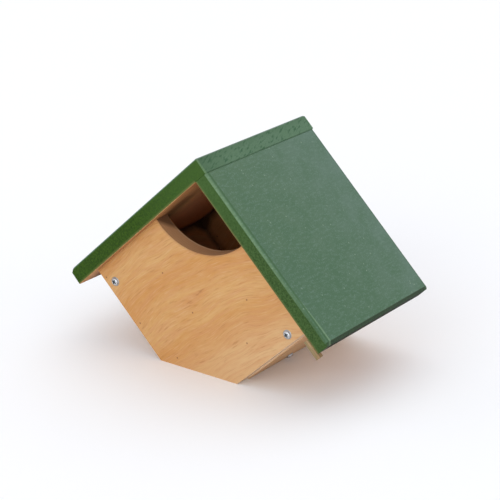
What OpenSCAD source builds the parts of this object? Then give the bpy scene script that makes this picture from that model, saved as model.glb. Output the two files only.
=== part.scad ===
// Diamond nest box for robins and wrens: an open-fronted plywood box, diamond-shaped from the front,
// under two boards that butt together at the ridge. Sizes are in millimetres.
// Origin: middle of the box's flat underside. The open front faces -Y, +Z is up.

/* [Roof] */
// Pitch of both roof slopes, above level
pitch = 44; // [40:0.5:50]
// Length of each roof slope, from the ridge to the eaves
roof_slope = 200; // [185:1:260]
// Depth of the roof, front to back
roof_depth = 170; // [120:1:240]
// Thickness of the roof boards
roof_t = 16; // [9:0.5:22]
// Radius of the front and rear arrises on top of the right roof board
right_arris_r = 3.5; // [0.5:0.5:4]
// Radius of the same arrises on the left board, which is eased less
left_arris_r = 1.5; // [0.5:0.5:4]
// Radius of the arrises round the underside of each roof board
under_arris_r = 1; // [0.5:0.5:2]
// Length of the weathered bevel at the left eaves, along the slope
left_eaves_bevel = 5; // [2:0.5:10]
// Length of the same bevel at the right eaves, which is less worn
right_eaves_bevel = 3; // [2:0.5:10]
// Depth of both bevels, into the board
eaves_bevel_t = 3; // [1:0.5:4]
// Bevel planed along the ridge
ridge_ease = 1.5; // [0.5:0.5:3]
// Easing of the two arrises that meet at the ridge seam
seam_ease = 0.8; // [0.2:0.1:1.5]

/* [Body] */
// Length of the front panel's sloping sides, from under the ridge
body_side = 162.5; // [130:0.5:165]
// Width of the flat underside, where the bottom corner is cut off
bottom_w = 86; // [60:1:120]
// Thickness of the front and back panels
panel_t = 16; // [9:0.5:20]
// Thickness of the two sloping walls
wall_t = 16; // [9:0.5:20]
// How far the walls stand out past the edges of the panels
wall_proud = 1.5; // [0:0.5:3]
// Thickness of the floor
floor_t = 16; // [9:0.5:20]
// How far the front panel stands back from the roof's front edge
front_setback = 8; // [4:1:40]

/* [Entrance] */
// Radius of the curved entrance
entrance_r = 66; // [40:1:90]
// Height of the curve's centre below the underside of the ridge
entrance_drop = 3; // [0:0.5:20]

/* [Fixing and drainage] */
// Diameter of the fixing hole in the back panel
fixing_hole_d = 7; // [4:0.5:10]
// Distance from the underside of the ridge down to the fixing hole
fixing_hole_drop = 45; // [30:1:60]
// Diameter of the drain holes in the floor
drain_hole_d = 8; // [4:0.5:10]
// Spacing of the drain holes, front to back
drain_pitch = 70; // [40:1:90]

/* [Eaves cleat] */
// Width of the cleat under the right eaves, front to back
cleat_w = 5; // [3:0.5:8]
// Thickness of the cleat
cleat_t = 5; // [3:0.5:9]
// Gap between the body's eaves corner and the cleat, along the slope
cleat_gap = 5; // [0:0.5:8]
// How far the cleat runs past the end of the roof board
cleat_out = 3.5; // [0:0.5:8]

/* [Hidden] */
$fn = 96;

// Angle inside the ridge, and the one inside the eaves corners of the body
ridge_angle = 180 - 2 * pitch;
side_angle = 2 * pitch;
// Heights above the underside of the box
under_ridge_z = 2 * body_side * sin(pitch) - bottom_w / 2 * tan(pitch);
ridge_z = under_ridge_z + roof_t / cos(pitch);
// Places front to back
roof_front_y = -roof_depth / 2;
roof_back_y = roof_depth / 2;
front_y = roof_front_y + front_setback;
front_in_y = front_y + panel_t;
back_in_y = roof_back_y - panel_t;
// Sloping sides of the walls' outer and inner faces, as long as they would run to the ridge
wall_out_side = body_side + wall_proud / sin(side_angle);
wall_in_side = wall_out_side - wall_t / sin(side_angle);
// Both cut ends at the ridge lean by this much through a board's thickness
ridge_lean = roof_t / tan(side_angle);
// Where the right board's top starts: it butts against the left board's underside
butt_start = roof_t / sin(side_angle);
// Distance down the right slope from the ridge to the cleat, just past the body's eaves corner
cleat_start = roof_t * tan(pitch) + wall_out_side + cleat_gap;
// How far a cutter runs past what it trims, and a size larger than the whole box
over = 1;
big = 2 * (roof_slope + roof_depth);

paint = "darkgreen";
ply = "burlywood";

// Cuts a bevel off a corner at the origin that opens between +X and a line turned down by an angle
module bevel_off(angle, along, down) {
    cut = down * [cos(angle), -sin(angle)] - [along, 0];
    translate([along, 0]) rotate(atan2(cut[1], cut[0]))
        translate([-over, -along - down]) square([norm(cut) + 2 * over, along + down]);
}

// Rounds a square corner at the origin that opens between +X and -Y
module round_off(r) {
    difference() {
        translate([-over, -r]) square([r + over, r + over]);
        translate([r, -r]) circle(r);
    }
}

// A board's section down the slope, its top on the X axis, with the eaves end shaped
module board_section(top_start, under_start, eaves_bevel) {
    difference() {
        polygon([[top_start, 0], [roof_slope, 0], [roof_slope, -roof_t], [under_start, -roof_t]]);
        translate([roof_slope, 0]) mirror([1, 0]) bevel_off(90, eaves_bevel, eaves_bevel_t);
        translate([roof_slope, -roof_t]) rotate(180) round_off(under_arris_r);
    }
}

// A board's section front to back, with all four arrises eased
module board_profile(arris_r) {
    difference() {
        translate([roof_front_y, -roof_t]) square([roof_depth, roof_t]);
        translate([roof_front_y, 0]) round_off(arris_r);
        translate([roof_back_y, 0]) mirror([1, 0]) round_off(arris_r);
        translate([roof_front_y, -roof_t]) mirror([0, 1]) round_off(under_arris_r);
        translate([roof_back_y, -roof_t]) rotate(180) round_off(under_arris_r);
    }
}

// Sweeps both sections into a board and lays it on the right slope
module roof_board(arris_r) {
    translate([0, 0, ridge_z]) rotate([0, pitch, 0])
        intersection() {
            translate([0, roof_back_y, 0]) rotate([90, 0, 0]) linear_extrude(roof_depth) children();
            translate([-roof_t, 0, 0]) rotate([90, 0, 90])
                linear_extrude(roof_slope + 2 * roof_t) board_profile(arris_r);
        }
}

// The left board runs right up to the ridge and shows its cut end on the right slope
module roof_left() {
    color(paint) mirror([1, 0, 0]) roof_board(left_arris_r)
        difference() {
            board_section(0, -ridge_lean, left_eaves_bevel);
            bevel_off(ridge_angle, ridge_ease, ridge_ease);
            translate([-ridge_lean, -roof_t]) mirror([0, 1])
                bevel_off(side_angle, seam_ease, seam_ease);
        }
}

// The right board butts against the left one's underside
module roof_right() {
    color(paint) roof_board(right_arris_r)
        difference() {
            board_section(butt_start, butt_start - ridge_lean, right_eaves_bevel);
            translate([butt_start, 0]) bevel_off(ridge_angle, seam_ease, seam_ease);
        }
}

// A diamond that hangs from under the ridge
module diamond(side) {
    across = side * cos(pitch);
    fall = side * sin(pitch);
    translate([0, under_ridge_z])
        polygon([[0, 0], [across, -fall], [0, -2 * fall], [-across, -fall]]);
}

// All that is above the flat underside, up to a height
module above_base(height = big) {
    translate([-big, 0]) square([2 * big, height]);
}

// Stands an outline up across the box, between two places front to back
module across(from_y, to_y) {
    translate([0, to_y, 0]) rotate([90, 0, 0]) linear_extrude(to_y - from_y) children();
}

module panel_outline() {
    intersection() {
        diamond(body_side);
        above_base();
    }
}

// Front panel with the curved entrance under the ridge
module front_panel() {
    color(ply) across(front_y, front_in_y)
        difference() {
            panel_outline();
            translate([0, under_ridge_z - entrance_drop]) circle(entrance_r);
        }
}

// Back panel with the fixing hole, reached through the entrance
module back_panel() {
    color(ply) difference() {
        across(back_in_y, roof_back_y) panel_outline();
        translate([0, back_in_y - over, under_ridge_z - fixing_hole_drop])
            rotate([-90, 0, 0]) cylinder(d = fixing_hole_d, h = panel_t + 2 * over);
    }
}

// A sloping wall between the panels, from the right roof board down to the underside
module wall_right() {
    eaves_corner = [cos(pitch), -sin(pitch)];
    bottom_corner = [0, -2 * sin(pitch)];
    color(ply) across(front_in_y, back_in_y)
        intersection() {
            translate([0, under_ridge_z])
                polygon([
                    wall_in_side * eaves_corner, wall_out_side * eaves_corner,
                    wall_out_side * bottom_corner, wall_in_side * bottom_corner
                ]);
            above_base();
        }
}

module wall_left() {
    mirror([1, 0, 0]) wall_right();
}

// The floor closes the cut-off corner, its edges mitred to the walls' inner faces
module floor_board() {
    color(ply) difference() {
        across(front_in_y, back_in_y)
            intersection() {
                diamond(wall_in_side);
                above_base(floor_t);
            }
        for (side = [-1, 1])
            translate([0, side * drain_pitch / 2, -over]) cylinder(d = drain_hole_d, h = floor_t + 2 * over);
    }
}

// A short cleat under the right eaves, flush with the roof's front edge
module eaves_cleat() {
    color(ply) translate([0, 0, ridge_z]) rotate([0, pitch, 0])
        translate([cleat_start, roof_front_y, -roof_t - cleat_t])
            cube([roof_slope + cleat_out - cleat_start, cleat_w, cleat_t]);
}

roof_left();
roof_right();
front_panel();
back_panel();
wall_left();
wall_right();
floor_board();
eaves_cleat();
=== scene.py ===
"""Diamond nest box: paint, bare plywood, screws, floor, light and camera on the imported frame."""
from math import cos, pi, radians, sin, tan

import bpy
from mathutils import Matrix, Vector


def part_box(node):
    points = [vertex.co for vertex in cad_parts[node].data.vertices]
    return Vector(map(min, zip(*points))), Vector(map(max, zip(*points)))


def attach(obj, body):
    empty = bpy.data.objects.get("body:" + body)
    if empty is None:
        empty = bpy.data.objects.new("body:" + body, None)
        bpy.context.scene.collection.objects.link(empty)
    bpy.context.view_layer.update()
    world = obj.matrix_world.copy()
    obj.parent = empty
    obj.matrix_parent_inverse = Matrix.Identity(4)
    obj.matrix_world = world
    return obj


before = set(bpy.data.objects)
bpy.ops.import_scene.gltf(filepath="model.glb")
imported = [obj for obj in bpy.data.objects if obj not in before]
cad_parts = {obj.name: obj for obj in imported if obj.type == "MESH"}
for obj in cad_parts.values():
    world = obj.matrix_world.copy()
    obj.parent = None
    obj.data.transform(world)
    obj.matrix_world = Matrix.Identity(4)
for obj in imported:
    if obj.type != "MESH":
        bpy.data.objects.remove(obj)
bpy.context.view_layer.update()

MM = 0.001
TO_MM = (1 / MM,) * 3           # turns metres into millimetres
front_low, front_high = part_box("front_panel")
back_low, back_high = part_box("back_panel")

# The boards, in millimetres. The ridge line is in the middle, at X = 0.
PITCH = radians(44)
BOARD = 16.0                    # thickness of every board
PLY = 1.45                      # thickness of each ply in it
SLOPE = 200.0                   # ridge to eaves
HALF_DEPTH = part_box("roof_right")[1].y / MM
UNDER_RIDGE = back_high.z / MM  # where the undersides of the roof boards meet
RIDGE = UNDER_RIDGE + BOARD / cos(PITCH)
INSIDE_FRONT = front_high.y / MM
INSIDE_BACK = back_low.y / MM
WALL_FOOT = 21.6                # about how far below the ground the walls' inner faces would meet
ENTRANCE = 66.0                 # radius of the entrance
ENTRANCE_DROP = 3.0             # its middle, below where the undersides meet
BEVEL_DEPTH = 3.0               # of both bevels at the eaves, into the board

# Directions
BACK, UP = Vector((0, 1, 0)), Vector((0, 0, 1))
UP_SLOPE = Vector((cos(PITCH), 0, sin(PITCH)))          # up the left roof board
OUT_OF_RIGHT = Vector((sin(PITCH), 0, -cos(PITCH)))     # out of the right wall
OUT_OF_LEFT = Vector((-sin(PITCH), 0, -cos(PITCH)))

# Figure of the bare wood, and shade painted into its inside corners, lengths in millimetres
FLAME = 12.0                    # how far the figure wanders either way
BOW = 0.0016                    # how sharply its bands bow, per millimetre
BOW_START = -60.0               # where along the grain they start to
SWING = 61.0                    # width of a swing from pale to ruddy and back
SHADE_REACH = 13.0               # how far the painted shade spreads from an inside corner
SHADE_SHARE = 0.85               # how much of the wood it hides in the corner itself

# A mix node's sockets for colours: the share, the colour under, the colour over it, the result
SHARE, UNDER, OVER, MIXED = 0, 6, 7, 2


def colour(code):
    """Linear colour, with alpha, from an sRGB hex code."""
    parts = [int(code[i:i + 2], 16) / 255 for i in (0, 2, 4)]
    return [p / 12.92 if p <= 0.04045 else ((p + 0.055) / 1.055) ** 2.4 for p in parts] + [1.0]


def add(tree, kind, wires=None, **settings):
    """Adds a node, its inputs set or linked by wires, and gives its outputs."""
    made = tree.nodes.new(kind)
    for key, value in settings.items():
        setattr(made, key, value)
    for key, value in (wires or {}).items():
        if isinstance(value, bpy.types.NodeSocket):
            tree.links.new(value, made.inputs[key])
        else:
            made.inputs[key].default_value = value
    return made.outputs


def new_finish(name):
    """A material with an empty tree."""
    finish = bpy.data.materials.new(name)
    finish.use_nodes = True
    finish.node_tree.nodes.clear()
    return finish, finish.node_tree


def ply_face(tree, lie, place, pale, ruddy, pores):
    """Colour of a face ply, and its fibres: broad flames from pale to ruddy wood, growth lines
    with a cast of their own, short dark pores and a few pin knots."""
    # the figure wanders a little, so it opens into long flames
    wander = add(tree, "ShaderNodeTexNoise", {"Vector": add(tree, "ShaderNodeVectorMath", {
        0: lie, 1: (1 / 75, 1 / 9, 1 / 48)}, operation="MULTIPLY")[0],
        "Scale": 1.0, "Detail": 1.0})[0]
    across = add(tree, "ShaderNodeMapRange", {
        "Value": wander, "To Min": -FLAME, "To Max": FLAME}, clamp=False)[0]
    across = add(tree, "ShaderNodeMath", {0: across, 1: place["Z"]})[0]
    bow = add(tree, "ShaderNodeMath", {0: place["X"], 1: BOW_START}, operation="SUBTRACT")[0]
    bow = add(tree, "ShaderNodeMath", {0: bow, 1: bow}, operation="MULTIPLY")[0]
    across = add(tree, "ShaderNodeMath", {0: bow, 1: BOW, 2: across}, operation="MULTIPLY_ADD")[0]
    drawn = add(tree, "ShaderNodeCombineXYZ", {0: place["X"], 1: place["Y"], 2: across})[0]
    # three patterns, each as long, as deep and as wide as its first three numbers say
    bands, cast, fibres = (
        add(tree, "ShaderNodeTexNoise", {"Vector": add(tree, "ShaderNodeVectorMath", {
            0: drawn, 1: (1 / length, 1 / depth, 1 / width)}, operation="MULTIPLY")[0],
            "Scale": 1.0, "Detail": detail, "Roughness": roughness})[0]
        for length, depth, width, detail, roughness in (
            (55, 12, 10, 5.0, 0.68),    # growth bands 5 to 15 mm wide
            (45, 8, 3.4, 3.0, 0.5),     # a rosy or a yellow cast, from one growth line to the next
            (16, 3, 1.3, 2.0, 0.6)))    # fibres 1 mm wide, coarser than the real 0.2 mm, to show
    # the bands lie on broad swings from pale to ruddy
    swing = add(tree, "ShaderNodeMath", {0: add(tree, "ShaderNodeMath", {
        0: across, 1: 2 * pi / SWING, 2: 2.9}, operation="MULTIPLY_ADD")[0]}, operation="SINE")[0]
    ruddiness = add(tree, "ShaderNodeMath", {
        0: swing, 1: -0.12, 2: bands}, operation="MULTIPLY_ADD")[0]
    ruddiness = add(tree, "ShaderNodeMapRange", {
        "Value": ruddiness, "From Min": 0.37, "From Max": 0.63})[0]
    face = add(tree, "ShaderNodeMix", {
        SHARE: ruddiness, UNDER: colour(pale), OVER: colour(ruddy)}, data_type="RGBA")[MIXED]
    sappy = add(tree, "ShaderNodeMapRange", {
        "Value": across, "From Min": -30.0, "From Max": -80.0, "To Max": 0.6})[0]
    rosy = add(tree, "ShaderNodeMapRange", {
        "Value": cast, "From Min": 0.42, "From Max": 0.66, "To Max": 0.6})[0]
    streaks = add(tree, "ShaderNodeMapRange", {
        "Value": fibres, "From Min": 0.55, "From Max": 0.75, "To Max": 0.5})[0]
    glints = add(tree, "ShaderNodeMapRange", {
        "Value": fibres, "From Min": 0.46, "From Max": 0.3, "To Max": 0.4})[0]
    # a few crisp dark strokes where a fibre stands in a dark growth line
    strokes = add(tree, "ShaderNodeMapRange", {
        "Value": add(tree, "ShaderNodeMath", {0: fibres, 1: cast}, operation="MULTIPLY")[0],
        "From Min": 0.37, "From Max": 0.47, "To Max": 0.45})[0]
    # pin knots 1.5 mm across, a few on each board
    flat = add(tree, "ShaderNodeCombineXYZ", {0: place["X"], 1: place["Z"]})[0]
    knots = add(tree, "ShaderNodeTexVoronoi", {
        "Vector": flat, "Scale": 1 / 55}, voronoi_dimensions="2D")
    knot = add(tree, "ShaderNodeMapRange", {
        "Value": knots["Distance"], "From Min": 0.011, "From Max": 0.019,
        "To Min": 0.7, "To Max": 0.0})[0]
    for share, tint in ((sappy, "cdaa80"), (rosy, "bf8858"), (streaks, pores),
                        (strokes, "8f5a2b"), (glints, "cea778"), (knot, "6b4128")):
        face = add(tree, "ShaderNodeMix", {
            SHARE: share, UNDER: face, OVER: colour(tint)}, data_type="RGBA")[MIXED]
    return face, fibres


def ply_edge(tree, lie, place):
    """Colour of a cut edge: striped plies, sanded pale along the lower edges and painted paler
    there for light on them, sawn and brighter at the lip of the entrance, and painted dark with the
    roof's shadow where the entrance runs up under the roof."""
    # every other ply shows its end grain
    turn = add(tree, "ShaderNodeMath", {0: place["Y"], 1: PLY}, operation="PINGPONG")[0]
    end_grain = add(tree, "ShaderNodeMapRange", {
        "Value": turn, "From Min": 0.45, "From Max": 1.0})[0]
    # torn fibres, 1.6 mm
    torn = add(tree, "ShaderNodeTexNoise", {"Vector": lie, "Scale": 1 / 1.6, "Detail": 2.0})[0]
    # the lower edges are sanded pale, and painted paler still for light on these downward-facing
    # edges, nearly as pale as the face
    sanded_and_lit = add(tree, "ShaderNodeMapRange", {
        "Value": place["Z"], "From Min": -40.0, "From Max": -70.0, "To Max": 0.6})[0]
    # the lip of the entrance is left sawn, and catches the light on its inner ply
    bright = add(tree, "ShaderNodeMapRange", {
        "Value": place["Z"], "From Min": 4.0, "From Max": 40.0, "To Max": 0.6})[0]
    last_ply = add(tree, "ShaderNodeMapRange", {
        "Value": place["Y"], "From Min": BOARD - 2.6, "From Max": BOARD - 1.6, "To Max": 0.55})[0]
    # the roof's shadow is painted high up at the back of the lip, and nowhere but along the
    # entrance
    roof_shadow = add(tree, "ShaderNodeMath", {
        0: place["Y"], 1: 0.85, 2: place["Z"]}, operation="MULTIPLY_ADD")[0]
    roof_shadow = add(tree, "ShaderNodeMapRange", {
        "Value": roof_shadow, "From Min": 62.0, "From Max": 69.0, "To Max": 0.85})[0]
    mouth = add(tree, "ShaderNodeMath", {0: place["X"], 1: 10.0, 2: 55.0}, operation="COMPARE")[0]
    roof_shadow = add(tree, "ShaderNodeMath", {0: roof_shadow, 1: mouth}, operation="MULTIPLY")[0]
    edge = colour("c89b73")
    # the pale lower edges carry painted light, and the dark at the lip a painted shadow
    for share, tint in ((end_grain, "ab805c"), (torn, "b58b66"), (sanded_and_lit, "dec4a2"),
                        (bright, "f0ba86"), (last_ply, "ecd0ae"), (roof_shadow, "2c1a0f")):
        edge = add(tree, "ShaderNodeMix", {
            SHARE: share, UNDER: edge, OVER: colour(tint)}, data_type="RGBA")[MIXED]
    return edge


def ply_wood(tree, lie, pale, ruddy, pores):
    """Colour and fibres of bare plywood. lie is in millimetres: X with the grain, Y through the
    board from one face, Z across the grain. Only a cut edge shows the plies, because a face lies
    in its own outer ply. pale, ruddy and pores are the colours of the face."""
    place = add(tree, "ShaderNodeSeparateXYZ", {0: lie})
    face, fibres = ply_face(tree, lie, place, pale, ruddy, pores)
    edge = ply_edge(tree, lie, place)
    from_middle = add(tree, "ShaderNodeMath", {0: add(tree, "ShaderNodeMath", {
        0: place["Y"], 1: BOARD / 2}, operation="SUBTRACT")[0]}, operation="ABSOLUTE")[0]
    inside = add(tree, "ShaderNodeMapRange", {
        "Value": from_middle, "From Min": BOARD / 2 - 0.25, "From Max": BOARD / 2 - 0.6})[0]
    wood = add(tree, "ShaderNodeMix", {
        SHARE: inside, UNDER: face, OVER: edge}, data_type="RGBA")[MIXED]
    return wood, fibres


def corner_shade(tree):
    """How deep into an inside corner a point lies, for the shade painted there: 0 on open faces, 1
    where two of them meet.
    """
    at = add(tree, "ShaderNodeVectorMath", {
        0: add(tree, "ShaderNodeTexCoord")["Object"], 1: TO_MM}, operation="MULTIPLY")[0]
    at = add(tree, "ShaderNodeSeparateXYZ", {0: at})
    beside = add(tree, "ShaderNodeMath", {0: at["X"]}, operation="ABSOLUTE")[0]
    beside = add(tree, "ShaderNodeMath", {0: beside, 1: sin(PITCH)}, operation="MULTIPLY")[0]
    above = add(tree, "ShaderNodeMath", {0: at["Z"], 1: cos(PITCH)}, operation="MULTIPLY")[0]
    # distances square to the walls, to the underside of the roof and to the back
    to_wall = add(tree, "ShaderNodeMath", {0: above, 1: beside}, operation="SUBTRACT")[0]
    to_wall = add(tree, "ShaderNodeMath", {0: to_wall, 1: WALL_FOOT * cos(PITCH)})[0]
    to_roof = add(tree, "ShaderNodeMath", {0: above, 1: beside})[0]
    to_roof = add(tree, "ShaderNodeMath", {
        0: UNDER_RIDGE * cos(PITCH), 1: to_roof}, operation="SUBTRACT")[0]
    to_back = add(tree, "ShaderNodeMath", {0: INSIDE_BACK, 1: at["Y"]}, operation="SUBTRACT")[0]
    nearness = 0.0
    for distance, share in ((to_wall, 0.74), (to_roof, 1.0), (to_back, 0.78)):
        distance = add(tree, "ShaderNodeMath", {0: distance}, operation="ABSOLUTE")[0]
        near = add(tree, "ShaderNodeMapRange", {
            "Value": distance, "From Min": SHADE_REACH, "From Max": 0.0, "To Max": share})[0]
        nearness = add(tree, "ShaderNodeMath", {0: near, 1: nearness})[0]
    # one face alone stays unshaded, so the sum has to pass 1.1
    depth = add(tree, "ShaderNodeMapRange", {
        "Value": nearness, "From Min": 1.1, "From Max": 1.75})[0]
    # only between the inner faces of the front and the back panel, with 0.2 mm to spare
    indoors = add(tree, "ShaderNodeMath", {
        0: at["Y"], 1: (INSIDE_BACK + INSIDE_FRONT) / 2,
        2: (INSIDE_BACK - INSIDE_FRONT) / 2 + 0.2}, operation="COMPARE")[0]
    return add(tree, "ShaderNodeMath", {0: depth, 1: indoors}, operation="MULTIPLY")[0]


def bare_plywood(name, grain, through, start,
                 pale="c6995f", ruddy="be8747", pores="9f6a35", rim=0.0):
    """Sanded, unpainted plywood with a rotary-cut tropical face: warm orange, soft wide figure,
    short dark pores along the grain, and a dry surface with almost no shine. grain and through
    are the directions of the grain and out through the thickness. start is a point on one face,
    where its figure starts. rim is how strongly the edge round the entrance is handled."""
    finish, tree = new_finish(name)
    turn = Matrix((grain, through, grain.cross(through)))
    lie = add(tree, "ShaderNodeMapping", {
        "Vector": add(tree, "ShaderNodeTexCoord")["Object"], "Rotation": turn.to_euler(),
        "Scale": TO_MM, "Location": -(turn @ Vector(start)) / MM})[0]
    wood, fibres = ply_wood(tree, lie, pale, ruddy, pores)
    # the inside corners are painted dark with shade, and the sawn rim of the entrance has been
    # handled
    corner_shadow = add(tree, "ShaderNodeMath", {
        0: corner_shade(tree), 1: SHADE_SHARE}, operation="MULTIPLY")[0]
    front_on = add(tree, "ShaderNodeVectorMath", {
        0: add(tree, "ShaderNodeTexCoord")["Object"], 1: (1 / MM, 0, 1 / MM)},
        operation="MULTIPLY")[0]
    from_centre = add(tree, "ShaderNodeVectorMath", {
        0: front_on, 1: (0, 0, UNDER_RIDGE - ENTRANCE_DROP)}, operation="DISTANCE")["Value"]
    handled = add(tree, "ShaderNodeMapRange", {
        "Value": from_centre, "From Min": ENTRANCE + 2.4, "From Max": ENTRANCE + 0.3,
        "To Max": rim})[0]
    for share, tint in ((corner_shadow, "1a0d06"), (handled, "8a6240")):
        wood = add(tree, "ShaderNodeMix", {
            SHARE: share, UNDER: wood, OVER: colour(tint)}, data_type="RGBA")[MIXED]
    relief = add(tree, "ShaderNodeBump", {
        "Height": fibres, "Strength": 0.35, "Distance": 0.25 * MM})[0]
    shader = add(tree, "ShaderNodeBsdfPrincipled", {
        "Base Color": wood, "Roughness": 0.62, "IOR": 1.45, "Normal": relief})[0]
    add(tree, "ShaderNodeOutputMaterial", {"Surface": shader})
    return finish


def top_paint_and_sheen(tree, lie, place, down, brush, stipple, cloud):
    """Colour of the painted top: mossy, with a sheen painted into it that makes it greyer to the
    rear, darker down the slope, with worn brush marks and specks of dust."""
    # painted sheen: greyer and bluer to the rear
    rearward = add(tree, "ShaderNodeMapRange", {
        "Value": place["Y"], "From Min": -HALF_DEPTH, "From Max": HALF_DEPTH})[0]
    top = add(tree, "ShaderNodeMix", {
        SHARE: rearward, UNDER: colour("567154"), OVER: colour("61796a")},
        data_type="RGBA")[MIXED]
    shade = add(tree, "ShaderNodeMapRange", {
        "Value": cloud, "From Min": 0.35, "From Max": 0.65, "To Max": 0.5})[0]
    # the front of the board darkens most from the ridge to the eaves
    darkening = add(tree, "ShaderNodeMapRange", {
        "Value": rearward, "To Min": 1.3 / SLOPE, "To Max": 0.15 / SLOPE})[0]
    shade = add(tree, "ShaderNodeMath", {
        0: down, 1: darkening, 2: shade}, operation="MULTIPLY_ADD")[0]
    worn = add(tree, "ShaderNodeMapRange", {
        "Value": add(tree, "ShaderNodeMath", {0: brush, 1: stipple}, operation="MULTIPLY")[0],
        "From Min": 0.23, "From Max": 0.38, "To Max": 0.4})[0]
    # specks of dust caught in the paint, half a millimetre, drawn at 0.8 mm so that they show
    specks = add(tree, "ShaderNodeTexVoronoi", {"Vector": lie, "Scale": 1 / 9})["Distance"]
    speck = add(tree, "ShaderNodeMapRange", {
        "Value": specks, "From Min": 0.055, "From Max": 0.1, "To Min": 0.45, "To Max": 0.0})[0]
    for share, tint in ((shade, "4e6c52"), (worn, "70897a"), (speck, "94a894")):
        top = add(tree, "ShaderNodeMix", {
            SHARE: share, UNDER: top, OVER: colour(tint)}, data_type="RGBA")[MIXED]
    return top


def painted_edge(tree, place, down, soak, thirsty, wet, clear_of_seam):
    """Colour of the front and rear edges, where the plies drink the paint: patches from thirsty
    to wet, olive where it thins out towards the lower arris, clear of the joint at the ridge."""
    edge = add(tree, "ShaderNodeMix", {
        SHARE: soak, UNDER: colour(thirsty), OVER: colour(wet)}, data_type="RGBA")[MIXED]
    near_ridge = add(tree, "ShaderNodeMapRange", {
        "Value": down, "From Min": 100.0, "From Max": 15.0, "To Max": 0.55})[0]
    thin = add(tree, "ShaderNodeMapRange", {
        "Value": place["Z"], "From Min": 2.6 - BOARD, "From Max": 0.8 - BOARD, "To Max": 0.4})[0]
    thin = add(tree, "ShaderNodeMath", {0: thin, 1: clear_of_seam}, operation="MULTIPLY")[0]
    for share, tint in ((near_ridge, "3d5d28"), (thin, "857f4c")):
        edge = add(tree, "ShaderNodeMix", {
            SHARE: share, UNDER: edge, OVER: colour(tint)}, data_type="RGBA")[MIXED]
    return edge


def ridge_end(tree, green, lie, place, cloud, at_ridge):
    """Colour of the left board's cut end beside the ridge, over green: dark tears and saw marks
    across it. Gives where it is torn as well."""
    # scores 1.8 mm apart and 8 mm long, that lean 22 degrees
    scored = add(tree, "ShaderNodeMapping", {"Vector": lie, "Rotation": (radians(-22), 0, 0)})[0]
    scored = add(tree, "ShaderNodeTexNoise", {"Vector": add(tree, "ShaderNodeVectorMath", {
        0: scored, 1: (1 / 20, 1 / 8, 1 / 1.8)}, operation="MULTIPLY")[0],
        "Scale": 1.0, "Detail": 2.0})[0]
    torn = add(tree, "ShaderNodeMapRange", {
        "Value": scored, "From Min": 0.52, "From Max": 0.68, "To Max": 0.85})[0]
    torn = add(tree, "ShaderNodeMath", {0: torn, 1: at_ridge}, operation="MULTIPLY")[0]
    end_green = add(tree, "ShaderNodeMath", {0: at_ridge, 1: 0.7}, operation="MULTIPLY")[0]
    # towards the rear it has drunk the paint in cloudy patches
    patchy = add(tree, "ShaderNodeMapRange", {
        "Value": add(tree, "ShaderNodeMath", {0: cloud, 1: place["Y"]}, operation="MULTIPLY")[0],
        "From Min": 8.0, "From Max": 26.0, "To Max": 0.12})[0]
    patchy = add(tree, "ShaderNodeMath", {0: patchy, 1: at_ridge}, operation="MULTIPLY")[0]
    # and it is darkest along the ridge and at the front
    thick = add(tree, "ShaderNodeMapRange", {
        "Value": place["Z"], "From Min": -8.0, "From Max": 0.0, "To Max": 0.25})[0]
    thick = add(tree, "ShaderNodeMath", {0: thick, 1: add(tree, "ShaderNodeMapRange", {
        "Value": place["Y"], "From Min": -45.0, "From Max": -75.0, "To Max": 0.25})[0]})[0]
    thick = add(tree, "ShaderNodeMath", {0: thick, 1: at_ridge}, operation="MULTIPLY")[0]
    for share, tint in ((end_green, "567557"), (patchy, "537a51"),
                        (torn, "345a3c"), (thick, "2f4f30")):
        green = add(tree, "ShaderNodeMix", {
            SHARE: share, UNDER: green, OVER: colour(tint)}, data_type="RGBA")[MIXED]
    return green, torn


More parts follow.
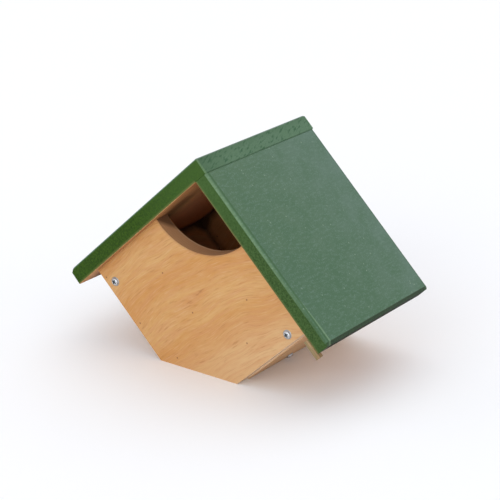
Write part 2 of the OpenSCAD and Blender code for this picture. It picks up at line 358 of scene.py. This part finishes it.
def arris_highlight(tree, green, side, place, down, sideways, brush, eased, at_ridge):
    """Colour of the front and rear arrises over green, with a pale highlight painted along them. On
    the right board it runs from end to end, fading to the eaves, and on the left board only at the
    ridge."""
    # the highlight painted along the arris
    highlight = add(tree, "ShaderNodeMapRange", {
        "Value": sideways, "From Min": HALF_DEPTH - 1.6, "From Max": HALF_DEPTH - 0.6,
        "To Max": 0.32})[0]
    highlight_green, reach = colour("7f9c70"), at_ridge
    if side > 0:
        fade = add(tree, "ShaderNodeMapRange", {
            "Value": down, "From Min": 70.0, "From Max": 175.0})[0]
        highlight_green = add(tree, "ShaderNodeMix", {
            SHARE: fade, UNDER: highlight_green, OVER: colour("36542a")}, data_type="RGBA")[MIXED]
        highlight = add(tree, "ShaderNodeMath", {0: add(tree, "ShaderNodeMapRange", {
            "Value": fade, "To Min": 1.0, "To Max": 2.0})[0], 1: highlight},
            operation="MULTIPLY")[0]
        # near the eaves the painted highlight runs along a line that strays in from the arris
        stray_highlight = add(tree, "ShaderNodeMapRange", {
            "Value": down, "From Min": 130.0, "From Max": 185.0, "To Max": 3.6})[0]
        stray_highlight = add(tree, "ShaderNodeMath", {0: stray_highlight, 1: place["Y"]}, operation="SUBTRACT")[0]
        stray_highlight = add(tree, "ShaderNodeMath", {
            0: stray_highlight, 1: HALF_DEPTH - 1.2, 2: 1.1}, operation="COMPARE")[0]
        stray_highlight = add(tree, "ShaderNodeMath", {0: stray_highlight, 1: add(tree, "ShaderNodeMapRange", {
            "Value": down, "From Min": 140.0, "From Max": 175.0, "To Max": 0.3})[0]},
            operation="MULTIPLY")[0]
        # a shallow shadow line runs where the easing starts
        reach = add(tree, "ShaderNodeMapRange", {
            "Value": place["Z"], "From Min": -0.3 - eased, "From Max": 0.2 - eased})[0]
        dip = add(tree, "ShaderNodeMapRange", {"Value": add(tree, "ShaderNodeMath", {
            0: sideways, 1: HALF_DEPTH - 2.7, 2: 0.9}, operation="COMPARE")[0],
            "To Max": 0.65})[0]
        dip = add(tree, "ShaderNodeMath", {0: dip, 1: reach}, operation="MULTIPLY")[0]
        for share, tint in ((stray_highlight, "8fae84"), (dip, "41603d")):
            green = add(tree, "ShaderNodeMix", {
                SHARE: share, UNDER: green, OVER: colour(tint)}, data_type="RGBA")[MIXED]
    highlight = add(tree, "ShaderNodeMath", {0: highlight, 1: reach}, operation="MULTIPLY")[0]
    highlight = add(tree, "ShaderNodeMath", {0: highlight, 1: add(tree, "ShaderNodeMapRange", {
        "Value": brush, "From Min": 0.3, "From Max": 0.5, "To Min": 0.55})[0]},
        operation="MULTIPLY")[0]
    return add(tree, "ShaderNodeMix", {
        SHARE: highlight, UNDER: green, OVER: highlight_green}, data_type="RGBA")[MIXED]


def bare_underside(tree, lie, place, down, stipple, clear_of_seam):
    """Colour of the unpainted underside: painted lighter and rosier deep inside the box, for light
    bounced round in there, painted shade just inside the front and in the inside corners, and
    where it shows below a wavering paint line."""
    grain = add(tree, "ShaderNodeVectorMath", {0: lie, 1: (0, 0, BOARD)}, operation="ADD")[0]
    grain = add(tree, "ShaderNodeMapping", {"Vector": grain, "Rotation": (-pi / 2, 0, 0)})[0]
    wood = ply_wood(tree, grain, "b28153", "a16f45", "82522f")[0]
    # painted light: lighter and rosier deep inside the box, for light bounced round in there
    bounce_glow = add(tree, "ShaderNodeMapRange", {
        "Value": place["Y"], "From Min": -50.0, "From Max": -15.0, "To Max": 0.9})[0]
    # a painted shadow in a band just inside the front panel, with its middle 3 mm in
    entry_shadow = add(tree, "ShaderNodeMath", {0: place["Y"], 1: -(INSIDE_FRONT + 3.0)})[0]
    entry_shadow = add(tree, "ShaderNodeMath", {0: entry_shadow}, operation="ABSOLUTE")[0]
    entry_shadow = add(tree, "ShaderNodeMapRange", {
        "Value": entry_shadow, "From Min": 17.0, "From Max": 5.0, "To Max": 0.6})[0]
    entry_shadow = add(tree, "ShaderNodeMath", {0: entry_shadow, 1: add(tree, "ShaderNodeMapRange", {
        "Value": down, "From Min": 30.0, "From Max": 60.0})[0]}, operation="MULTIPLY")[0]
    # shade painted dark into the inside corners
    corner_shadow = add(tree, "ShaderNodeMath", {
        0: corner_shade(tree), 1: SHADE_SHARE}, operation="MULTIPLY")[0]
    for share, tint in ((bounce_glow, "e8a070"), (entry_shadow, "2a1408"), (corner_shadow, "120a05")):
        wood = add(tree, "ShaderNodeMix", {
            SHARE: share, UNDER: wood, OVER: colour(tint)}, data_type="RGBA")[MIXED]
    line = add(tree, "ShaderNodeMath", {
        0: stipple, 1: 0.7, 2: place["Z"]}, operation="MULTIPLY_ADD")[0]
    bare = add(tree, "ShaderNodeMapRange", {
        "Value": line, "From Min": 0.95 - BOARD, "From Max": 0.7 - BOARD})[0]
    bare = add(tree, "ShaderNodeMath", {0: bare, 1: clear_of_seam}, operation="MULTIPLY")[0]
    # the paint laps round the lower arris at the eaves
    lapped = add(tree, "ShaderNodeMapRange", {
        "Value": down, "From Min": SLOPE - 0.9, "From Max": SLOPE - 1.3})[0]
    bare = add(tree, "ShaderNodeMath", {0: bare, 1: lapped}, operation="MULTIPLY")[0]
    return wood, bare


def painted_plywood(name, side, thirsty, wet, eased, joint, bevel):
    """Exterior plywood brushed with green woodcare paint: a low sheen, with more of it painted into
    the top's colour, which greys the top, so that the cut edges, which lack that painted sheen,
    show a darker, yellower green, in patches where the end grain drinks it; faint brush marks,
    and a bare underside, because only the weather side is painted. side is -1 for the left board
    and 1 for the right. thirsty and wet are the greens of the cut edges, which start eased
    millimetres below the top; the underside is painted as far as joint from the ridge; bevel is
    the length of the one at the eaves."""
    finish, tree = new_finish(name)
    # millimetres: X down the slope from the ridge, Y front to back, Z up from the top face
    lie = add(tree, "ShaderNodeMapping", {
        "Vector": add(tree, "ShaderNodeTexCoord")["Object"], "Rotation": (0, -side * PITCH, 0),
        "Scale": TO_MM, "Location": (side * RIDGE * sin(PITCH), 0, -RIDGE * cos(PITCH))})[0]
    place = add(tree, "ShaderNodeSeparateXYZ", {0: lie})
    down = add(tree, "ShaderNodeMath", {0: place["X"], 1: side}, operation="MULTIPLY")[0]
    sideways = add(tree, "ShaderNodeMath", {0: place["Y"]}, operation="ABSOLUTE")[0]
    # faint brush marks run front to back, about 2 mm wide
    brush = add(tree, "ShaderNodeTexNoise", {"Vector": add(tree, "ShaderNodeVectorMath", {
        0: lie, 1: (1 / 2.4, 1 / 7, 1 / 4)}, operation="MULTIPLY")[0],
        "Scale": 1.0, "Detail": 3.0})[0]
    # clouds 24 mm wide, and a stipple of 1.5 mm
    cloud = add(tree, "ShaderNodeTexNoise", {"Vector": lie, "Scale": 1 / 24, "Detail": 3.0})[0]
    stipple = add(tree, "ShaderNodeTexNoise", {"Vector": lie, "Scale": 1 / 1.5, "Detail": 2.0})[0]
    soak = add(tree, "ShaderNodeMapRange", {
        "Value": stipple, "From Min": 0.25, "From Max": 0.75})[0]
    # where the cut end at the ridge is, and where the underside is clear of the joint there
    at_ridge = add(tree, "ShaderNodeMapRange", {
        "Value": down, "From Min": 1.2, "From Max": 0.6})[0]
    clear_of_seam = add(tree, "ShaderNodeMapRange", {
        "Value": down, "From Min": joint, "From Max": joint + 0.5})[0]
    # the front and rear edges below the eased arris
    edge_run = add(tree, "ShaderNodeMapRange", {
        "Value": sideways, "From Min": HALF_DEPTH - 1.0, "From Max": HALF_DEPTH - 0.7})[0]
    below_arris = add(tree, "ShaderNodeMapRange", {
        "Value": place["Z"], "From Min": 0.2 - eased, "From Max": -0.3 - eased})[0]
    cut = add(tree, "ShaderNodeMath", {0: edge_run, 1: below_arris}, operation="MULTIPLY")[0]
    # the bevel at the eaves is painted dark green for shade, and the dull end grain below the bevel
    # is painted nearly black for shade
    eaves_run = add(tree, "ShaderNodeMapRange", {
        "Value": down, "From Min": SLOPE - bevel, "From Max": SLOPE - bevel + 0.4})[0]
    eaves_end = add(tree, "ShaderNodeMapRange", {
        "Value": place["Z"], "From Min": 0.4 - BEVEL_DEPTH, "From Max": -0.4 - BEVEL_DEPTH,
        "To Max": 0.75})[0]
    eaves_end = add(tree, "ShaderNodeMath", {
        0: eaves_end, 1: eaves_run}, operation="MULTIPLY")[0]
    eaves_shade_green = add(tree, "ShaderNodeMix", {
        SHARE: soak, UNDER: colour("182c15"), OVER: colour("294524")}, data_type="RGBA")[MIXED]
    eaves_shade_green = add(tree, "ShaderNodeMix", {
        SHARE: eaves_end, UNDER: eaves_shade_green, OVER: colour("0f170b")}, data_type="RGBA")[MIXED]
    # all of the paint, and the bare wood under it
    # the top's colour carries a painted sheen, which the cut edges lack
    green = top_paint_and_sheen(tree, lie, place, down, brush, stipple, cloud)
    edge_green = painted_edge(tree, place, down, soak, thirsty, wet, clear_of_seam)
    for share, coat in ((eaves_run, eaves_shade_green), (cut, edge_green)):
        green = add(tree, "ShaderNodeMix", {
            SHARE: share, UNDER: green, OVER: coat}, data_type="RGBA")[MIXED]
    green, torn = ridge_end(tree, green, lie, place, cloud, at_ridge)
    # painted highlights along the front and rear arrises
    green = arris_highlight(tree, green, side, place, down, sideways, brush, eased, at_ridge)
    wood, bare = bare_underside(tree, lie, place, down, stipple, clear_of_seam)
    skin = add(tree, "ShaderNodeMix", {
        SHARE: bare, UNDER: green, OVER: wood}, data_type="RGBA")[MIXED]
    roughness = add(tree, "ShaderNodeMapRange", {
        "Value": add(tree, "ShaderNodeMath", {0: bare, 1: cut}, operation="MAXIMUM")[0],
        "To Min": 0.42, "To Max": 0.6})[0]
    roughness = add(tree, "ShaderNodeMath", {
        0: eaves_end, 1: roughness}, operation="MAXIMUM")[0]
    height = add(tree, "ShaderNodeMath", {
        0: brush, 1: 1.0, 2: stipple}, operation="MULTIPLY_ADD")[0]
    height = add(tree, "ShaderNodeMath", {
        0: torn, 1: -2.0, 2: height}, operation="MULTIPLY_ADD")[0]
    relief = add(tree, "ShaderNodeBump", {
        "Height": height, "Strength": 0.3, "Distance": 0.3 * MM})[0]
    shader = add(tree, "ShaderNodeBsdfPrincipled", {
        "Base Color": skin, "Roughness": roughness, "IOR": 1.45, "Specular IOR Level": 0.16,
        "Normal": relief})[0]
    add(tree, "ShaderNodeOutputMaterial", {"Surface": shader})
    return finish


def zinc_plate(name):
    """Bright zinc-plated steel: a cool, slightly blue metal with a soft, uneven shine, and shade
    painted in where the piece's own attribute says."""
    finish, tree = new_finish(name)
    at = add(tree, "ShaderNodeTexCoord")["Object"]
    # crystals of the plating, about 0.5 mm, drawn at 1.2 mm so that they show
    crystals = add(tree, "ShaderNodeTexNoise", {
        "Vector": at, "Scale": 1 / (1.2 * MM), "Detail": 2.0})[0]
    tone = add(tree, "ShaderNodeMix", {
        SHARE: crystals, UNDER: colour("a9afb5"), OVER: colour("e2e5e8")},
        data_type="RGBA")[MIXED]
    # shade painted into the recess and round the flange
    screw_shade = add(tree, "ShaderNodeMath", {
        0: add(tree, "ShaderNodeAttribute", attribute_name="screw_shade")["Fac"], 1: 0.68},
        operation="MULTIPLY")[0]
    tone = add(tree, "ShaderNodeMix", {
        SHARE: screw_shade, UNDER: tone, OVER: colour("1d2024")}, data_type="RGBA")[MIXED]
    shine = add(tree, "ShaderNodeMapRange", {
        "Value": crystals, "To Min": 0.3, "To Max": 0.5})[0]
    shader = add(tree, "ShaderNodeBsdfPrincipled", {
        "Base Color": tone, "Metallic": 1.0, "Roughness": shine})[0]
    add(tree, "ShaderNodeOutputMaterial", {"Surface": shader})
    return finish


def matt_paper(name):
    """Plain matt white paper under the box, with only a trace of cloudiness and no shine."""
    finish, tree = new_finish(name)
    at = add(tree, "ShaderNodeTexCoord")["Object"]
    # clouds two thirds of a metre wide
    cloud = add(tree, "ShaderNodeTexNoise", {"Vector": at, "Scale": 1.5})[0]
    tone = add(tree, "ShaderNodeMix", {
        SHARE: cloud, UNDER: colour("f8f8f8"), OVER: colour("fafafa")}, data_type="RGBA")[MIXED]
    shader = add(tree, "ShaderNodeBsdfPrincipled", {"Base Color": tone, "Roughness": 0.9})[0]
    add(tree, "ShaderNodeOutputMaterial", {"Surface": shader})
    return finish


# Finishes for the boards. The front's grain runs up the left slope, and the walls' front to back.
# The strip under the eaves is weathered softwood, so its grain is darker and greyer.
_, wall_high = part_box("wall_right")
eaves = Vector((wall_high.x, 0, back_high.z - wall_high.x * tan(PITCH)))
left_eaves = Vector((-eaves.x, 0, eaves.z))
strip_low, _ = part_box("eaves_cleat")
finishes = {
    "roof_left": painted_plywood(
        "green painted plywood, left", -1, "1f3904", "36540d", eased=1.1, joint=15.2, bevel=5.0),
    "roof_right": painted_plywood(
        "green painted plywood, right", 1, "263f16", "435f31", eased=2.9, joint=0.0, bevel=3.0),
    "front_panel": bare_plywood(
        "plywood, front", UP_SLOPE, BACK, (0, front_low.y, 0.09), rim=0.4),
    "back_panel": bare_plywood(
        "plywood, back", UP_SLOPE, BACK, (0.02, back_low.y, 0.12), "bd8653", "b0763f"),
    "wall_right": bare_plywood(
        "plywood, right wall", -BACK, OUT_OF_RIGHT, eaves - OUT_OF_RIGHT * BOARD * MM,
        "be956c", "b58a5b"),
    "wall_left": bare_plywood(
        "plywood, left wall", BACK, OUT_OF_LEFT, left_eaves - OUT_OF_LEFT * BOARD * MM,
        "be956c", "b58a5b"),
    "floor_board": bare_plywood("plywood, floor", BACK, UP, (0.01, 0.01, 0)),
    "eaves_cleat": bare_plywood(
        "pale softwood strip", Vector((UP_SLOPE.x, 0, -UP_SLOPE.z)), BACK,
        (strip_low.x, strip_low.y + 6 * MM, 0), "7c714e", "706142", "584a30"),
}
for node, finish in finishes.items():
    for material_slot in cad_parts[node].material_slots:
        material_slot.material = finish


DOME = 0.8              # share of a screw head's radius that is dome, inside its flange
FLANGE = 0.35 * MM      # thickness of the flange
QUARTER = pi / 2


def domed_head(tree, given):
    """A disc of rings, drawn up into a domed head with a full shoulder and a thin flange round
    it. Gives how far out each point is as well, from 0 in the middle to 1 at the rim."""
    disc = add(tree, "GeometryNodeMeshCylinder", {
        "Vertices": 40, "Side Segments": 1, "Fill Segments": 10,
        "Radius": given["Head radius"], "Depth": 0.4 * MM}, fill_type="NGON")
    at = add(tree, "ShaderNodeSeparateXYZ", {0: add(tree, "GeometryNodeInputPosition")[0]})
    flat = add(tree, "ShaderNodeCombineXYZ", {0: at["X"], 1: at["Y"]})[0]
    reach = add(tree, "ShaderNodeMath", {
        0: add(tree, "ShaderNodeVectorMath", {0: flat}, operation="LENGTH")["Value"],
        1: given["Head radius"]}, operation="DIVIDE", use_clamp=True)[0]
    dome = add(tree, "ShaderNodeMapRange", {"Value": reach, "From Max": DOME})[0]
    angle = add(tree, "ShaderNodeMath", {0: dome, 1: QUARTER}, operation="MULTIPLY")[0]
    # powers under 1 fill the shoulder out, past a plain quarter circle
    lift = add(tree, "ShaderNodeMath", {
        0: add(tree, "ShaderNodeMath", {0: angle}, operation="COSINE", use_clamp=True)[0],
        1: 0.75}, operation="POWER")[0]
    lift = add(tree, "ShaderNodeMath", {
        0: lift, 1: given["Head height"]}, operation="MULTIPLY")[0]
    flange = add(tree, "ShaderNodeMapRange", {
        "Value": reach, "From Min": 1.0, "From Max": 0.92, "To Max": FLANGE})[0]
    lift = add(tree, "ShaderNodeMath", {0: lift, 1: flange}, operation="MAXIMUM")[0]
    spread = add(tree, "ShaderNodeMath", {
        0: add(tree, "ShaderNodeMath", {0: angle}, operation="SINE")[0], 1: 0.8},
        operation="POWER")[0]
    spread = add(tree, "ShaderNodeMath", {0: spread, 1: DOME}, operation="MULTIPLY")[0]
    spread = add(tree, "ShaderNodeMath", {0: spread, 1: add(tree, "ShaderNodeMapRange", {
        "Value": reach, "From Min": DOME, "To Min": 0.0, "To Max": 1 - DOME})[0]},
        operation="ADD")[0]
    spread = add(tree, "ShaderNodeMath", {
        0: spread, 1: given["Head radius"]}, operation="MULTIPLY")[0]
    out = add(tree, "ShaderNodeVectorMath", {
        0: add(tree, "ShaderNodeVectorMath", {0: flat}, operation="NORMALIZE")[0],
        "Scale": spread}, operation="SCALE")[0]
    up = add(tree, "ShaderNodeCombineXYZ", {2: lift})[0]
    head = add(tree, "GeometryNodeSetPosition", {
        "Geometry": disc["Mesh"], "Selection": disc["Top"],
        "Position": add(tree, "ShaderNodeVectorMath", {0: out, 1: up}, operation="ADD")[0]})[0]
    return head, reach, at


def cross_recess(tree, given):
    """Two crossed bars and a round one, as one cutter in the top of the head."""
    size = add(tree, "ShaderNodeMath", {
        0: given["Recess reach"], 1: 2.0}, operation="MULTIPLY")[0]
    deep = add(tree, "ShaderNodeMath", {
        0: given["Recess depth"], 1: 2.0}, operation="MULTIPLY")[0]
    top = add(tree, "ShaderNodeCombineXYZ", {2: given["Head height"]})[0]
    bar = add(tree, "GeometryNodeMeshCube", {"Size": add(tree, "ShaderNodeCombineXYZ", {
        0: size, 1: given["Recess width"], 2: deep})[0]})[0]
    bar = add(tree, "GeometryNodeTransform", {"Geometry": bar, "Translation": top})[0]
    cross_bar = add(tree, "GeometryNodeTransform", {
        "Geometry": bar, "Rotation": (0, 0, QUARTER)})[0]
    middle = add(tree, "GeometryNodeMeshCylinder", {
        "Vertices": 20, "Radius": given["Recess width"], "Depth": deep},
        fill_type="NGON")["Mesh"]
    middle = add(tree, "GeometryNodeTransform", {"Geometry": middle, "Translation": top})[0]
    cutter = tree.nodes.new("GeometryNodeMeshBoolean")
    cutter.operation, cutter.solver = "UNION", "EXACT"
    for part in (bar, cross_bar, middle):
        tree.links.new(part, cutter.inputs["Mesh 2"])
    return cutter.outputs["Mesh"]


def screw_tree():
    """Pan-head screws with a cross recess, one on each point, head up along the point's facing."""
    tree = bpy.data.node_groups.new("pan-head screws", "GeometryNodeTree")
    tree.interface.new_socket("Points", in_out="INPUT", socket_type="NodeSocketGeometry")
    for label in ("Head radius", "Head height", "Recess reach", "Recess width", "Recess depth"):
        tree.interface.new_socket(label, in_out="INPUT", socket_type="NodeSocketFloat")
    tree.interface.new_socket("Turn seed", in_out="INPUT", socket_type="NodeSocketInt")
    tree.interface.new_socket("Plating", in_out="INPUT", socket_type="NodeSocketMaterial")
    tree.interface.new_socket("Screws", in_out="OUTPUT", socket_type="NodeSocketGeometry")
    given = add(tree, "NodeGroupInput")
    head, reach, at = domed_head(tree, given)
    head = add(tree, "GeometryNodeMeshBoolean", {
        "Mesh 1": head, "Mesh 2": cross_recess(tree, given)},
        operation="DIFFERENCE", solver="EXACT")[0]
    head = add(tree, "GeometryNodeMergeByDistance", {
        "Geometry": head, "Distance": 0.03 * MM})[0]
    head = add(tree, "GeometryNodeTriangulate", {"Mesh": head})[0]
    # where shade is painted: down in the recess, and on the flange round the foot of the dome
    hollow = add(tree, "ShaderNodeMath", {0: add(tree, "ShaderNodeMapRange", {
        "Value": reach, "From Min": 0.6, "From Max": 0.55})[0], 1: add(tree, "ShaderNodeMapRange", {
        "Value": at["Z"], "From Min": 1.8 * MM, "From Max": 1.2 * MM})[0]},
        operation="MULTIPLY")[0]
    foot = add(tree, "ShaderNodeMapRange", {
        "Value": reach, "From Min": 0.76, "From Max": 0.84, "To Max": 0.65})[0]
    head = add(tree, "GeometryNodeStoreNamedAttribute", {
        "Geometry": head, "Name": "screw_shade",
        "Value": add(tree, "ShaderNodeMath", {0: hollow, 1: foot}, operation="MAXIMUM")[0]},
        data_type="FLOAT", domain="POINT")[0]
    # each head stands square to its board and is turned by chance
    facing = add(tree, "GeometryNodeInputNamedAttribute", {
        "Name": "facing"}, data_type="FLOAT_VECTOR")[0]
    stood = add(tree, "FunctionNodeAlignRotationToVector", {"Vector": facing}, axis="Z")[0]
    turned = add(tree, "FunctionNodeRandomValue", {
        "Max": QUARTER, "Seed": given["Turn seed"]}, data_type="FLOAT")
    turned = next(socket for socket in turned if socket.enabled)
    spin = add(tree, "FunctionNodeAxisAngleToRotation", {"Axis": (0, 0, 1), "Angle": turned})[0]
    stood = add(tree, "FunctionNodeRotateRotation", {0: stood, 1: spin}, rotation_space="LOCAL")[0]
    stand = add(tree, "GeometryNodeInstanceOnPoints", {
        "Points": given["Points"], "Instance": head, "Rotation": stood})[0]
    real = add(tree, "GeometryNodeRealizeInstances", {"Geometry": stand})[0]
    plated = add(tree, "GeometryNodeSetMaterial", {
        "Geometry": real, "Material": given["Plating"]})[0]
    add(tree, "NodeGroupOutput", {"Screws": plated})
    return tree


def screws(name, spots, inputs):
    """A plain mesh of screws, one at each of spots, a list of (where, facing). inputs holds what
    the tree's named inputs are set to."""
    points = bpy.data.meshes.new(name)
    points.from_pydata([where for where, _ in spots], [], [])
    facing = points.attributes.new("facing", "FLOAT_VECTOR", "POINT")
    facing.data.foreach_set("vector", [value for _, way in spots for value in way])
    piece = bpy.data.objects.new(name, points)
    bpy.context.scene.collection.objects.link(piece)
    modifier = piece.modifiers.new("screws", "NODES")
    modifier.node_group = screw_tree()
    for socket in modifier.node_group.interface.items_tree:
        if socket.in_out == "INPUT" and socket.name in inputs:
            modifier[socket.identifier] = inputs[socket.name]
    graph = bpy.context.evaluated_depsgraph_get()
    made = bpy.data.meshes.new_from_object(piece.evaluated_get(graph), depsgraph=graph)
    piece.modifiers.remove(modifier)
    piece.data = made
    for face in made.polygons:
        face.use_smooth = False
    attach(piece, "root")


def on_panel(side, up, in_from_roof, y):
    """A point on a panel's face, up from its lower sloping edge and in from the roof board, both
    in millimetres."""
    corner = Vector((back_high.x, 0, back_high.z - back_high.x * tan(PITCH)))
    to_ridge = Vector((-cos(PITCH), 0, sin(PITCH)))
    to_floor = Vector((-cos(PITCH), 0, -sin(PITCH)))
    spot = corner + (to_ridge * up + to_floor * in_from_roof) * MM
    return Vector((side * spot.x, y, spot.z))


def on_wall(side, y, z):
    """A point on a wall's outer face, y back from the middle and z up, both in millimetres."""
    return Vector((side * (eaves.x - (eaves.z - z * MM) / tan(PITCH)), y * MM, z * MM))


screws("screws", [
    (on_panel(-1, 9.6, 18.5, front_low.y), -BACK),
    (on_panel(1, 8.1, 21.5, front_low.y), -BACK),
    (on_panel(-1, 9.0, 20.0, back_high.y), BACK),
    (on_panel(1, 9.0, 20.0, back_high.y), BACK),
    (on_wall(1, -4.0, 5.2), OUT_OF_RIGHT),
    (on_wall(-1, -4.0, 5.2), OUT_OF_LEFT),
], {
    "Head radius": 4.4 * MM, "Head height": 2.2 * MM, "Recess reach": 2.2 * MM,
    "Recess width": 1.4 * MM, "Recess depth": 1.9 * MM, "Turn seed": 7,
    "Plating": zinc_plate("zinc-plated steel"),
})

# Floor, soft light and camera
FLOOR = 4.0             # half the floor's width, in metres
ground = bpy.data.meshes.new("floor")
ground.from_pydata([
    (-FLOOR, -FLOOR, 0), (FLOOR, -FLOOR, 0), (FLOOR, FLOOR, 0), (-FLOOR, FLOOR, 0)],
    [], [(0, 1, 2, 3)])
ground.materials.append(matt_paper("matt white paper"))
ground = bpy.data.objects.new("floor", ground)
bpy.context.scene.collection.objects.link(ground)

scene = bpy.context.scene
scene.view_settings.view_transform = "Standard"
world = bpy.data.worlds.new("studio")
world.use_nodes = True
sky = world.node_tree.nodes["Background"].inputs
sky["Color"].default_value, sky["Strength"].default_value = colour("f7f9ff"), 0.8
scene.world = world

# Even light from four sides, as from wide diffusers far away: where it comes from, how many
# degrees wide it is and how strong
for name, towards, width, strength in (
        ("front", (0.12, -0.92, 0.37), 40, 0.7),
        ("low right", (0.62, -0.78, 0.03), 40, 0.5),
        ("top", (-0.1, 0.35, 0.93), 60, 0.6),
        ("left", (-0.7, -0.5, 0.5), 60, 0.25)):
    lamp = bpy.data.lights.new(name, "SUN")
    lamp.angle, lamp.energy = radians(width), strength
    stand = bpy.data.objects.new(name, lamp)
    stand.location = Vector(towards)
    stand.rotation_euler = stand.location.to_track_quat("Z", "Y").to_euler()
    scene.collection.objects.link(stand)

# The camera looks at a point near the middle of the box from the front right and above, a little
# out of level; angles in degrees, places in metres
AROUND, ABOVE, ROLL = radians(34.57), radians(20.56), radians(1.29)
AIM, DISTANCE = Vector((0.00197, -0.00148, 0.09699)), 1.7851
camera = bpy.data.cameras.new("camera")
camera.lens, camera.sensor_width = 139.2, 36
camera.clip_start, camera.clip_end = 0.05, 50
eye = bpy.data.objects.new("camera", camera)
back_off = Vector((sin(AROUND) * cos(ABOVE), -cos(AROUND) * cos(ABOVE), sin(ABOVE)))
level_look = (-back_off).to_track_quat("-Z", "Y").to_matrix().to_4x4()
eye.location = AIM + back_off * DISTANCE
eye.rotation_mode = "QUATERNION"
eye.rotation_quaternion = (Matrix.Rotation(ROLL, 4, back_off) @ level_look).to_quaternion()
scene.collection.objects.link(eye)
scene.camera = eye
